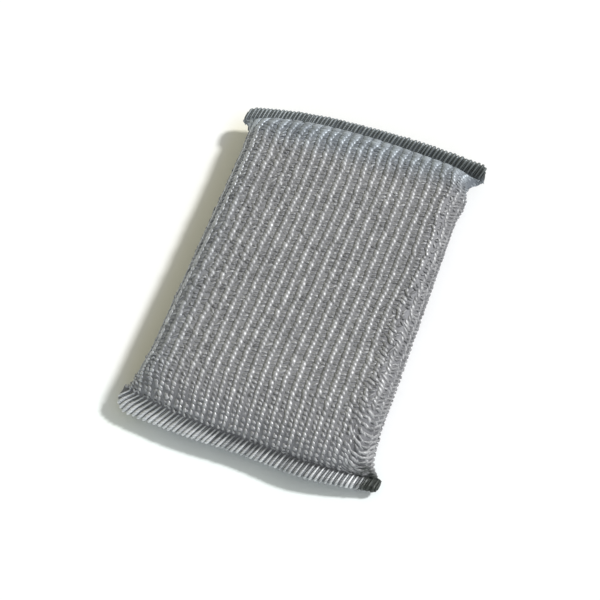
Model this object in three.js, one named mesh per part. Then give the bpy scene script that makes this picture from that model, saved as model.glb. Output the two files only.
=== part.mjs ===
// Kitchen scouring sponge: a foam slab inside a ribbed tube of metallic knit.
// Each end of the tube is flattened into a hem and closed by an overlock thread.
// Millimetres. X runs across the pad, Y along it and Z up, from under the middle of the pad.

import * as THREE from "three";

// Pad
const PAD_WIDTH = 80; // across the body, over the ribs
const PAD_LENGTH = 122; // from seam line to seam line, along the middle
const PAD_THICKNESS = 17; // over the ribs
const SIDE_ROUND = 9; // reach of the rounding along each long side
const END_ROUND = 9; // reach of the shoulder that falls to each seam line

// Knitted cover
const KNIT_WALL = 0.8; // one ply, between the ribs
const RIB_COUNT = 48; // ribs round the tube
const RIB_HEIGHT = 0.6; // crest above valley
const RIB_CREST = 1.2; // flat width of a crest
const MOUTH_WIDTH = 88; // flattened end of the tube, tip to tip
const MOUTH_GAP = 0.3; // between the two plies of a hem
const EAR_ROUND = 20; // reach of the side rounding beside a seam, where the corners thin out to ears
const HEM_DEPTH = 4.6; // knit beyond the seam line
const SEAM_BOW = 3; // how far the tips of a seam fall back behind its middle

// Foam core
const CORE_CLEARANCE = 0.4; // between foam and knit

// Overlock thread
const THREAD_DIAMETER = 1;
const STITCH_GAP = 0.65; // bare knit between two stitches
const STITCH_SLANT = 2.6; // how far a stitch leans along the seam
const THREAD_CLEARANCE = 0.3; // between thread and knit

// Fineness of the facets
const SHOULDER_STEPS = 4;
const THREAD_SIDES = 5;

const HEM_HALF = MOUTH_GAP / 2 + KNIT_WALL;
const BODY_HALF_HEIGHT = PAD_THICKNESS / 2 - RIB_HEIGHT;
const BODY_HALF_WIDTH = PAD_WIDTH / 2 - RIB_HEIGHT;

// Moves a point of the straight pad to its place on the real one: the seams bow out in the middle,
// less and less towards the middle of the pad, and the pad lies on Z = 0.
function place(x, y, z) {
  const acrossSeam = (x / (MOUTH_WIDTH / 2)) ** 2;
  const alongPad = Math.min(1, (y / (PAD_LENGTH / 2)) ** 4);
  const bow = SEAM_BOW * acrossSeam * alongPad;
  return new THREE.Vector3(x, y - Math.sign(y) * bow, z + PAD_THICKNESS / 2);
}

// The knit's outer face at one station: a flat-sided outline with elliptical long sides.
// rise is 0 at the seam line, where the tube is a flat hem, and 1 on the flat of the pad.
// The sides flare towards the mouth all along the shoulder, so they follow the square of the rise.
function crossSection(rise) {
  const halfHeight = THREE.MathUtils.lerp(HEM_HALF, BODY_HALF_HEIGHT, rise);
  const halfWidth = THREE.MathUtils.lerp(MOUTH_WIDTH / 2, BODY_HALF_WIDTH, rise ** 2);
  const rounding = rise === 0 ? HEM_HALF : THREE.MathUtils.lerp(EAR_ROUND, SIDE_ROUND, rise);
  const flat = halfWidth - rounding;
  const outline = new THREE.Path();
  outline.moveTo(0, -halfHeight);
  outline.lineTo(flat, -halfHeight);
  outline.absellipse(flat, 0, rounding, halfHeight, -Math.PI / 2, Math.PI / 2, false);
  outline.lineTo(-flat, halfHeight);
  outline.absellipse(-flat, 0, rounding, halfHeight, Math.PI / 2, (3 * Math.PI) / 2, false);
  outline.lineTo(0, -halfHeight);
  return { halfHeight, rounding, flat, outline };
}

// A ring of points that lies inset below the outer face, with one point under each rib.
function plainRing(station, inset) {
  const { halfHeight, rounding, flat, outline } = crossSection(station.rise);
  return Array.from({ length: RIB_COUNT }, (_, rib) => {
    const { x, y: z } = outline.getPoint(rib / RIB_COUNT);
    const side = Math.max(0, Math.abs(x) - flat);
    const sunkX = x - Math.sign(x) * side * (inset / rounding);
    const sunkZ = z * (1 - inset / halfHeight);
    return place(sunkX, station.y, sunkZ);
  });
}

// A ring of points with three for each rib: both edges of its crest and the valley after it.
function ribbedRing(station) {
  const { outline } = crossSection(station.rise);
  const crestShare = RIB_CREST / outline.getLength();
  const height = RIB_HEIGHT * station.rise;
  const ring = [];
  for (let rib = 0; rib < RIB_COUNT; rib += 1) {
    const middle = rib / RIB_COUNT;
    const corners = [
      [middle - crestShare / 2, height],
      [middle + crestShare / 2, height],
      [middle + 0.5 / RIB_COUNT, 0],
    ];
    for (const [share, lift] of corners) {
      const wrapped = THREE.MathUtils.euclideanModulo(share, 1);
      const point = outline.getPoint(wrapped);
      const tangent = outline.getTangent(wrapped);
      ring.push(place(point.x + lift * tangent.y, station.y, point.y - lift * tangent.x));
    }
  }
  return ring;
}

// Stations from the front end of the pad to the back, for a surface that lies inset below the
// knit's outer face. The shoulder is a quarter ellipse, stepped by equal angles.
function padStations(inset, firstStep) {
  const half = [];
  for (let step = firstStep; step <= SHOULDER_STEPS; step += 1) {
    const angle = ((step / SHOULDER_STEPS) * Math.PI) / 2;
    const inside = END_ROUND - (END_ROUND - inset) * Math.cos(angle);
    half.push({ y: inside - PAD_LENGTH / 2, rise: Math.sin(angle) });
  }
  const mirrored = half.map(({ y, rise }) => ({ y: -y, rise })).reverse();
  return [...half, ...mirrored];
}

// The same stations with the cut edges of the two hems added.
function coverStations(inset) {
  const edge = PAD_LENGTH / 2 + HEM_DEPTH;
  return [{ y: -edge, rise: 0 }, ...padStations(inset, 0), { y: edge, rise: 0 }];
}

// Collects rings of points and joins them with triangles.
class Skin {
  positions = [];
  triangles = [];

  addRing(points) {
    const first = this.positions.length / 3;
    points.forEach((point) => this.positions.push(point.x, point.y, point.z));
    return points.map((_, index) => first + index);
  }

  // Joins two rings. fine has a whole number of points for each point of coarse.
  join(fine, coarse, flip = false) {
    const ratio = fine.length / coarse.length;
    coarse.forEach((near, index) => {
      const next = coarse[(index + 1) % coarse.length];
      for (let part = 0; part < ratio; part += 1) {
        const from = fine[index * ratio + part];
        const to = fine[(index * ratio + part + 1) % fine.length];
        this.addTriangle(from, to, near, flip);
      }
      this.addTriangle(fine[((index + 1) * ratio) % fine.length], next, near, flip);
    });
  }

  addTriangle(a, b, c, flip) {
    this.triangles.push(...(flip ? [a, c, b] : [a, b, c]));
  }

  // Fills the end of a ring with a fan about its centre.
  close(ring, centre, flip) {
    const [middle] = this.addRing([centre]);
    ring.forEach((from, index) => this.addTriangle(from, ring[(index + 1) % ring.length], middle, flip));
  }

  toGeometry() {
    const geometry = new THREE.BufferGeometry();
    geometry.setAttribute("position", new THREE.Float32BufferAttribute(this.positions, 3));
    geometry.setIndex(this.triangles);
    geometry.computeVertexNormals();
    return geometry;
  }
}

// The knit: a ribbed tube, open at both mouths, where its two plies lie together as a hem.
function knittedCover() {
  const skin = new Skin();
  const outer = coverStations(0).map((station) => skin.addRing(ribbedRing(station)));
  const inner = coverStations(KNIT_WALL).map((station) => skin.addRing(plainRing(station, KNIT_WALL)));
  for (let index = 1; index < outer.length; index += 1) {
    skin.join(outer[index], outer[index - 1]);
    skin.join(inner[index], inner[index - 1], true);
  }
  skin.join(outer[0], inner[0]);
  skin.join(outer.at(-1), inner.at(-1), true);
  return skin.toGeometry();
}

// The foam: a slab with the pad's own roundings, cut square just inside each seam line.
function foamCore() {
  const skin = new Skin();
  const inset = KNIT_WALL + CORE_CLEARANCE;
  const stations = padStations(inset, 1);
  const rings = stations.map((station) => skin.addRing(plainRing(station, inset)));
  for (let index = 1; index < rings.length; index += 1) {
    skin.join(rings[index], rings[index - 1]);
  }
  skin.close(rings[0], place(0, stations[0].y, 0), false);
  skin.close(rings.at(-1), place(0, stations.at(-1).y, 0), true);
  return skin.toGeometry();
}

// A route of straight runs, stepped from corner to corner.
class ThreadRoute extends THREE.Curve {
  constructor(corners) {
    super();
    this.corners = corners;
  }

  getPoint(share, target = new THREE.Vector3()) {
    const along = share * (this.corners.length - 1);
    const index = THREE.MathUtils.clamp(Math.floor(along), 0, this.corners.length - 2);
    return target.lerpVectors(this.corners[index], this.corners[index + 1], along - index);
  }

  getUtoTmapping(share) {
    return share;
  }
}

// The thread's round section.
function threadSection() {
  const middle = new THREE.Vector2();
  const corners = Array.from({ length: THREAD_SIDES }, (_, side) => {
    const turn = (side / THREAD_SIDES) * 2 * Math.PI;
    return new THREE.Vector2(THREAD_DIAMETER / 2, 0).rotateAround(middle, turn);
  });
  return new THREE.Shape(corners);
}

// The overlock thread of the front end: it runs out over the hem, round the cut edge and back under
// it, steps along the seam line by one stitch, and comes back the same way.
function overlockThread() {
  const stand = THREAD_CLEARANCE + THREAD_DIAMETER / 2;
  const inward = stand;
  const outward = HEM_DEPTH + stand;
  const level = HEM_HALF + stand;
  const corner = (2 - Math.SQRT2) * stand;
  const wrap = [
    [inward, level],
    [outward - corner, level],
    [outward, level - corner],
    [outward, corner - level],
    [outward - corner, -level],
    [inward, -level],
  ];
  const pitch = THREAD_DIAMETER + STITCH_GAP;
  const run = MOUTH_WIDTH - THREAD_DIAMETER - STITCH_SLANT;
  const stitches = Math.floor(run / pitch);
  const start = -(stitches * pitch + STITCH_SLANT) / 2;
  const corners = [];
  for (let stitch = 0; stitch <= stitches; stitch += 1) {
    const order = stitch % 2 === 0 ? wrap : [...wrap].reverse();
    for (const [depth, height] of order) {
      const lean = (STITCH_SLANT * (outward - depth)) / (outward - inward);
      const x = start + stitch * pitch + lean;
      corners.push(place(x, -(PAD_LENGTH / 2 + depth), height));
    }
  }
  return new THREE.ExtrudeGeometry(threadSection(), {
    steps: corners.length - 1,
    extrudePath: new ThreadRoute(corners),
  });
}

const knitFinish = new THREE.MeshStandardMaterial({ color: 0x8d8f92, metalness: 0.6, roughness: 0.4 });
const foamFinish = new THREE.MeshStandardMaterial({ color: 0xe6e2d4, metalness: 0, roughness: 0.95 });
const threadFinish = new THREE.MeshStandardMaterial({ color: 0xb4b6ba, metalness: 0.7, roughness: 0.35 });

function piece(name, geometry, material) {
  const mesh = new THREE.Mesh(geometry, material);
  mesh.name = name;
  return mesh;
}

// Both ends are sewn alike, so the back thread is the front one turned half round.
const seam = overlockThread();
const backSeam = piece("back_seam", seam, threadFinish.clone());
backSeam.rotation.z = Math.PI;

const sponge = new THREE.Group();
sponge.add(
  piece("knitted_cover", knittedCover(), knitFinish),
  piece("foam_core", foamCore(), foamFinish),
  piece("front_seam", seam, threadFinish),
  backSeam,
);

export default sponge;
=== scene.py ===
"""Kitchen scouring sponge: a foam slab in a ribbed tube of metallic knit, overlocked at both ends.

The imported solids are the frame. Every loop of the knit and every stitch of the two seams is built as
a closed strand on the pad's own surface, then settled into the way the used pad lies.
Metres. X runs across the pad, Y along its ribs and Z up from the surface that it lies on.
"""

import logging
import math
from dataclasses import dataclass, fields
from enum import Enum

import bpy
import numpy as np
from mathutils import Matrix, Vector


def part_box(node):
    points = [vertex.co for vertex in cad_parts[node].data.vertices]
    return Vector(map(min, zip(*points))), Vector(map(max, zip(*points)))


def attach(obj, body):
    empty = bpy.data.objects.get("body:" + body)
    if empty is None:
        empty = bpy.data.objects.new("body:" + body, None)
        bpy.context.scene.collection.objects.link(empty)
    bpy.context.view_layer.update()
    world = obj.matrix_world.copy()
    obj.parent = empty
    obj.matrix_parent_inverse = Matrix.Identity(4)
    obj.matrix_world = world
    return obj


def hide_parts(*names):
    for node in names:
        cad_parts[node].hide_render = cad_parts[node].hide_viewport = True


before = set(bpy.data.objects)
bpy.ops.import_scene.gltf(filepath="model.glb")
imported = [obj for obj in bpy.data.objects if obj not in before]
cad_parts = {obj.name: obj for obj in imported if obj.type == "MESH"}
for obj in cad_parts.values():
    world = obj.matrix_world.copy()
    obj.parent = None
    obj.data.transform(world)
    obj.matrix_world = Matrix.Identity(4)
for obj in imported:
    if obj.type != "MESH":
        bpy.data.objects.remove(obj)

LOG = logging.getLogger("sponge")
MM = 0.001
SHORTEST = 1e-12
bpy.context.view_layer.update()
RIPPLES = ((2.1, 1.3, 0.4), (-1.4, 2.3, 2.1), (3.3, -3.1, 4.4))
RIPPLE_HEIGHT = 2.2

Array = np.ndarray
Colour = tuple[float, float, float]
Span = tuple[float, float]
Stations = tuple[float, float, float, float, float]


class End(Enum):
    """The two sewn ends of the pad, each with the way it faces along Y."""

    FRONT = -1
    BACK = 1


class Face(Enum):
    """The two broad faces of the pad."""

    TOP = "top"
    UNDER = "under"


def blend(low: float, high: float, share: Array) -> Array:
    """Goes straight from low at share 0 to high at share 1."""
    return low + (high - low) * share


def ease(value: Array, start: float, end: float) -> Array:
    """Rises smoothly from 0 at start to 1 at end.

    Args:
        value: Where to read the curve.
        start: Where it leaves 0.
        end: Where it reaches 1.

    Returns:
        The height of the curve, between 0 and 1.
    """
    share = np.clip((value - start) / (end - start), 0.0, 1.0)
    return share * share * (3.0 - 2.0 * share)


def through(stations: Stations, share: Array) -> Array:
    """Runs a smooth curve through values at even stations.

    Args:
        stations: The values.
        share: Where to read the curve, 0 at the first station and 1 at the last.

    Returns:
        The height of the curve.
    """
    values = np.array(stations)
    slopes = np.gradient(values)
    place = np.clip(share, 0.0, 1.0) * (len(values) - 1)
    near = np.minimum(place.astype(int), len(values) - 2)
    step = place - near
    turned = ease(step, 0.0, 1.0)
    level = values[near] * (1.0 - turned) + values[near + 1] * turned
    return level + step * (1.0 - step) * (slopes[near] * (1.0 - step) - slopes[near + 1] * step)


def waves(first: Array, second: Array, first_length: float, second_length: float) -> Array:
    """Gives a smooth, uneven ripple over a face.

    Args:
        first: Places along one way.
        second: Places along the other way.
        first_length: About how far apart the ripples are along the first way.
        second_length: The same along the second way.

    Returns:
        Heights, mostly between -1 and 1.
    """
    a, b = first / first_length, second / second_length
    ripple = sum(np.sin(by_first * a + by_second * b + phase) for by_first, by_second, phase in RIPPLES)
    return ripple / RIPPLE_HEIGHT


def unit(vectors: Array) -> Array:
    """Scales vectors, in the last axis, to length 1."""
    return vectors / np.maximum(np.linalg.norm(vectors, axis=-1, keepdims=True), SHORTEST)


def put_in_scene(name: str, data: bpy.types.ID) -> bpy.types.Object:
    """Makes an object of a mesh, a lamp or a camera, and links it into the scene.

    Args:
        name: The object's name.
        data: What the object shows.

    Returns:
        The object.
    """
    made = bpy.data.objects.new(name, data)
    bpy.context.scene.collection.objects.link(made)
    return made


@dataclass(frozen=True)
class Band:
    """A stretch with soft edges, which rises from 0 to 1 over one span and falls back over another."""

    rise: Span
    fall: Span

    def share(self, place: Array) -> Array:
        """Tells how far in the band each place is, from 0 to 1."""
        return ease(place, *self.rise) * ease(-place, -self.fall[1], -self.fall[0])


@dataclass(frozen=True)
class Bulge:
    """A smooth swelling about one place."""

    height: float
    middle: float
    reach: float

    def at(self, place: Array) -> Array:
        """Gives the height of the swelling at each place."""
        return self.height * np.exp(-(((place - self.middle) / self.reach) ** 2))


@dataclass(frozen=True)
class PadSizes:
    """Driving sizes of the sewn pad, as the solids have them."""

    mouth_width: float
    hem_to_hem: float
    thickness: float
    width: float = 80 * MM
    length: float = 122 * MM
    side_round: float = 9 * MM
    end_round: float = 9 * MM
    ear_round: float = 20 * MM
    knit_wall: float = 0.8 * MM
    rib_height: float = 0.6 * MM
    mouth_gap: float = 0.3 * MM
    seam_bow: float = 3 * MM
    core_clearance: float = 0.4 * MM

    @classmethod
    def from_frame(cls) -> "PadSizes":
        """Reads the cover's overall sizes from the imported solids."""
        low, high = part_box("knitted_cover")
        return cls(*(high[axis] - low[axis] for axis in range(3)))

    @property
    def hem_half(self) -> float:
        """Half the thickness of a flattened hem."""
        return self.mouth_gap / 2 + self.knit_wall

    @property
    def hem_depth(self) -> float:
        """Knit beyond the seam line."""
        return (self.hem_to_hem - self.length) / 2

    @property
    def body_half_height(self) -> float:
        """Half the thickness of the pad, between the ribs."""
        return self.thickness / 2 - self.rib_height

    @property
    def body_half_width(self) -> float:
        """Half the width of the pad, between the ribs."""
        return self.width / 2 - self.rib_height


@dataclass(frozen=True)
class EndLie:
    """The way that one sewn end lies, with values from its left tip to its right tip.

    Five values stand at even stations along the seam, and two at the tips alone.
    """

    tilt: Stations
    drop: Stations
    set_back: Stations
    hem_share: Stations
    ear_pull: Span
    ear_hold: Span
    tip_round: Span


@dataclass(frozen=True)
class PadLie:
    """The way that the pad lies: small bends of the straight pad, in the frame of the solids."""

    sizes: PadSizes
    body_skew: float = 0.014
    end_reach: float = 24 * MM
    ear_reach: float = 8 * MM
    side_share: float = 0.71
    side_zone: Span = (0.55, 0.9)
    tip_zone: Span = (0.6, 1.0)
    tip_blunt: float = 0.94
    hem_turn: Span = (-2.5 * MM, 1.5 * MM)
    right_puff: Bulge = Bulge(1.5 * MM, 46.5 * MM, 5 * MM)
    right_waist: Bulge = Bulge(0.5 * MM, -48 * MM, 9 * MM)
    left_flare: Bulge = Bulge(1.4 * MM, -53 * MM, 8 * MM)
    front: EndLie = EndLie(
        tilt=(-0.57, -0.52, -0.4, -0.14, 0.07),
        drop=(0.7 * MM, 1.2 * MM, 2.4 * MM, 2.8 * MM, 6.0 * MM),
        set_back=(2.8 * MM, 0.9 * MM, 0.5 * MM, -1.4 * MM, -1.4 * MM),
        hem_share=(1.47, 1.09, 0.94, 0.94, 0.7),
        ear_pull=(0.6 * MM, 0.3 * MM),
        ear_hold=(-2.4, 0.9),
        tip_round=(4 * MM, 1 * MM),
    )
    back: EndLie = EndLie(
        tilt=(0.1, 0.18, 0.32, 0.5, 0.62),
        drop=(-0.3 * MM, -0.2 * MM, 0.0, 0.0, 0.0),
        set_back=(1.7 * MM, -0.8 * MM, -1.2 * MM, -0.2 * MM, 0.5 * MM),
        hem_share=(1.1, 0.95, 0.9, 1.01, 1.02),
        ear_pull=(0.65 * MM, -1.25 * MM),
        ear_hold=(1.0, 1.0),
        tip_round=(3 * MM, 1.5 * MM),
    )

    def settle(self, points: Array) -> Array:
        """Moves points of the straight pad to where they are on the pad as it lies.

        Args:
            points: Points, with Z measured from the middle plane of the pad.

        Returns:
            The same points in the frame of the solids, where the pad lies on Z = 0.
        """
        x, y, z = points[..., 0], points[..., 1], points[..., 2]
        front, back = self.front, self.back
        half_length = self.sizes.length / 2
        across = x / (self.sizes.mouth_width / 2)
        bow = self.sizes.seam_bow * across**2
        y = y - np.sign(y) * bow * np.minimum(1.0, (y / half_length) ** 4)
        y, z = self._turn_hem(across, y, z, half_length - bow)
        near_end = ease(np.abs(y), half_length - self.end_reach, half_length)
        at_ear = ease(np.abs(y) + bow, half_length - self.ear_reach, half_length)
        tip = ease(np.abs(across), *self.tip_zone)
        past_seam = ease(np.abs(y) + bow, half_length, half_length + self.sizes.hem_depth)
        hold = blend(1.0, self._by_tip(across, y, front.ear_hold, back.ear_hold), past_seam)
        pull = self._by_tip(across, y, front.ear_pull, back.ear_pull) * hold
        x = x - np.sign(across) * pull * tip * at_ear
        x = x + self.body_skew * y * (1.0 - near_end)
        x = x + (self.right_puff.at(y) - self.right_waist.at(y)) * ease(across, *self.side_zone)
        x = x - self.left_flare.at(y) * ease(-across, *self.side_zone)
        drop = self._by_end(across, y, front.drop, back.drop) * near_end
        y = y - np.sign(y) * self._by_end(across, y, front.set_back, back.set_back) * near_end
        return np.stack([x, y, self._rest(z, drop)], axis=-1)

    def hem_reach(self, x: Array, y: Array) -> Array:
        """Gives the share of the full hem depth that is left at a place along a seam.

        Args:
            x: Places across the pad.
            y: Places along the pad, which tell the end.

        Returns:
            1 along the seam, falling round each tip.
        """
        corner = self._by_tip(x, y, self.front.tip_round, self.back.tip_round)
        past = np.clip((np.abs(x) - (self.sizes.mouth_width / 2 - corner)) / corner, 0.0, self.tip_blunt)
        return np.sqrt(1.0 - past**2)

    def round_hem_corners(self, points: Array) -> Array:
        """Draws the outer corners of both hems in, as the sewing gathers them.

        Args:
            points: Points of the straight pad.

        Returns:
            The points with those past a seam line drawn towards it near the tips.
        """
        beyond = np.maximum(0.0, np.abs(points[..., 1]) - self.sizes.length / 2)
        keep = self.hem_reach(points[..., 0], points[..., 1])
        drawn = points.copy()
        drawn[..., 1] -= np.sign(points[..., 1]) * beyond * (1.0 - keep)
        return drawn

    @staticmethod
    def _by_end(across: Array, y: Array, front: Stations, back: Stations) -> Array:
        """Reads a value of the nearer end at places across it.

        Args:
            across: Places across the end, -1 at its left tip and 1 at its right tip.
            y: Places along the pad.
            front: The values along the front end.
            back: The values along the back end.

        Returns:
            The value at each place.
        """
        share = (across + 1.0) / 2.0
        return np.where(y > 0, through(back, share), through(front, share))

    @staticmethod
    def _by_tip(across: Array, y: Array, front: Span, back: Span) -> Array:
        """Reads a value of the nearest of the four tips.

        Args:
            across: Places across the end.
            y: Places along the pad.
            front: The values at the left and the right tip of the front end.
            back: The values at the tips of the back end.

        Returns:
            The value at each place.
        """
        left, right = (np.where(y > 0, back[side], front[side]) for side in (0, 1))
        return np.where(across > 0, right, left)

    def _turn_hem(self, across: Array, y: Array, z: Array, seam_line: Array) -> tuple[Array, Array]:
        """Gives a hem its depth and turns it about its seam line.

        Args:
            across: Places across the end, -1 at its left tip and 1 at its right tip.
            y: Places along the pad.
            z: Heights from the middle plane.
            seam_line: Distance of the seam line from the middle of the pad.

        Returns:
            The turned y and z.
        """
        front, back = self.front, self.back
        beyond = np.abs(y) - seam_line
        share = self._by_end(across, y, front.hem_share, back.hem_share)
        beyond = np.where(beyond > 0, beyond * share, beyond)
        turn = self._by_end(across, y, front.tilt, back.tilt) * ease(beyond, *self.hem_turn)
        outward = beyond * np.cos(turn) - z * np.sin(turn)
        return np.sign(y) * (seam_line + outward), beyond * np.sin(turn) + z * np.cos(turn)

    def _rest(self, z: Array, drop: Array) -> Array:
        """Lowers the pad, and keeps its underside on the surface that it lies on.

        Args:
            z: Heights from the middle plane.
            drop: How far the middle plane comes down.

        Returns:
            Heights above that surface.
        """
        middle = self.sizes.thickness / 2
        above = np.maximum(0.0, middle + z)
        return np.where(z > 0, above - drop, above * (middle - drop) / middle)


class PadSurface:
    """The knit's outer face between the ribs, laid out by distances round and along the tube.

    around is measured from the middle of the top face towards +X, and along from the front seam line.
    """

    RISE_STEPS = 64
    AROUND_STEPS = 720
    PROFILE_STEPS = 96
    SIDE_STEPS = 240
    FLARE_POWER = 1.4
    HEM_BLEND = 0.06
    PROBE = 0.05 * MM

    def __init__(self, sizes: PadSizes, lie: PadLie) -> None:
        """Tabulates the cross sections and the lengthwise profile.

        Args:
            sizes: Driving sizes of the pad.
            lie: The way that the pad lies.
        """
        self.sizes = sizes
        self.lie = lie
        rises = np.linspace(0.0, 1.0, self.RISE_STEPS)
        self.sections = np.stack([self._section(rise) for rise in rises])
        self.girth = self._girth()
        self._along, self._y, self._rise = self._profile()

    @property
    def run(self) -> float:
        """Distance from seam line to seam line over the top of the pad."""
        return float(self._along[-1])

    def _section(self, rise: float) -> Array:
        """Traces the outline at one height of the shoulder, from the middle of the top towards +X.

        Args:
            rise: 0 at the seam line and 1 on the flat of the pad.

        Returns:
            Points x and z, evenly spaced round the outline.
        """
        sizes = self.sizes
        half_height = blend(sizes.hem_half, sizes.body_half_height, rise)
        half_width = blend(sizes.mouth_width / 2, sizes.body_half_width, rise**self.FLARE_POWER)
        full_round = blend(sizes.ear_round, self.lie.side_share * sizes.side_round, rise)
        rounding = blend(sizes.hem_half, full_round, ease(rise, 0.0, self.HEM_BLEND))
        flat = half_width - rounding
        turn = np.linspace(0.0, math.pi, self.SIDE_STEPS)
        right = np.stack([flat + rounding * np.sin(turn), half_height * np.cos(turn)], axis=-1)
        outline = np.concatenate([[[0.0, half_height]], right, -right, [[0.0, half_height]]])
        steps = np.linalg.norm(np.diff(outline, axis=0), axis=-1)
        passed = np.concatenate([[0.0], np.cumsum(steps)])
        even = np.linspace(0.0, passed[-1], self.AROUND_STEPS + 1)
        return np.stack([np.interp(even, passed, outline[:, axis]) for axis in range(2)], axis=-1)

    def _girth(self) -> float:
        """Measures round the body of the pad."""
        return float(np.linalg.norm(np.diff(self.sections[-1], axis=0), axis=-1).sum())

    def _profile(self) -> tuple[Array, Array, Array]:
        """Steps along the middle of the top face from seam line to seam line.

        Returns:
            Distance along, place along Y, and rise, for each step.
        """
        sizes = self.sizes
        angle = np.linspace(0.0, math.pi / 2, self.PROFILE_STEPS)
        inside = sizes.end_round * (1.0 - np.cos(angle))
        y = np.concatenate([inside - sizes.length / 2, (sizes.length / 2 - inside)[::-1]])
        rise = np.concatenate([np.sin(angle), np.sin(angle)[::-1]])
        height = blend(sizes.hem_half, sizes.body_half_height, rise)
        steps = np.hypot(np.diff(y), np.diff(height))
        return np.concatenate([[0.0], np.cumsum(steps)]), y, rise

    def _straight(self, around: Array, along: Array) -> Array:
        """Finds points of the straight pad's face.

        Args:
            around: Distances round the tube.
            along: Distances from the front seam line. Past either seam line they run out on the hem.

        Returns:
            The points, with Z measured from the middle plane.
        """
        rise = np.interp(along, self._along, self._rise) * (self.RISE_STEPS - 1)
        y = np.interp(along, self._along, self._y)
        y = y + np.minimum(along, 0.0) + np.maximum(along - self.run, 0.0)
        turn = np.mod(around / self.girth, 1.0) * self.AROUND_STEPS
        low = np.minimum(rise.astype(int), self.RISE_STEPS - 2)
        near = np.minimum(turn.astype(int), self.AROUND_STEPS - 1)
        up, on = (rise - low)[..., None], (turn - near)[..., None]
        lower = self.sections[low, near] * (1 - on) + self.sections[low, near + 1] * on
        upper = self.sections[low + 1, near] * (1 - on) + self.sections[low + 1, near + 1] * on
        across = lower * (1 - up) + upper * up
        return np.stack([across[..., 0], y, across[..., 1]], axis=-1)

    def points(self, around: Array, along: Array, lift: Array) -> tuple[Array, Array]:
        """Finds points over the straight pad's face, and the way that the face looks there.

        Args:
            around: Distances round the tube.
            along: Distances from the front seam line.
            lift: Heights above the face.

        Returns:
            The points and the outward normals, before the pad is settled.
        """
        around, along, lift = np.broadcast_arrays(around, along, lift)
        step = self.PROBE
        side = self._straight(around + step, along) - self._straight(around - step, along)
        ahead = self._straight(around, along + step) - self._straight(around, along - step)
        normals = unit(np.cross(side, ahead))
        return self._straight(around, along) + normals * lift[..., None], normals


@dataclass
class MeshData:
    """Points and faces of a mesh, with a tone for each point and a place on its strand for each corner."""

    points: Array
    quads: Array
    triangles: Array
    tone: Array
    corners: Array

    def to_object(self, name: str) -> bpy.types.Object:
        """Makes a smooth mesh object of the data.

        Args:
            name: The piece's name.

        Returns:
            The object, linked into the scene.
        """
        mesh = bpy.data.meshes.new(name)
        loops = np.concatenate([self.quads.ravel(), self.triangles.ravel()]).astype(np.int32)
        quads, triangles = np.arange(len(self.quads)), np.arange(len(self.triangles))
        starts = np.concatenate([4 * quads, 4 * len(quads) + 3 * triangles])
        mesh.vertices.add(len(self.points))
        mesh.vertices.foreach_set("co", self.points.astype(np.float32).ravel())
        mesh.loops.add(len(loops))
        mesh.loops.foreach_set("vertex_index", loops)
        mesh.polygons.add(len(starts))
        mesh.polygons.foreach_set("loop_start", starts.astype(np.int32))
        mesh.update(calc_edges=True)
        mesh.validate()
        tone = mesh.attributes.new("tone", "FLOAT", "POINT")
        tone.data.foreach_set("value", self.tone.astype(np.float32))
        layer = mesh.uv_layers.new(name="strand")
        layer.data.foreach_set("uv", self.corners.astype(np.float32).ravel())
        mesh.shade_smooth()
        return put_in_scene(name, mesh)


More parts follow.
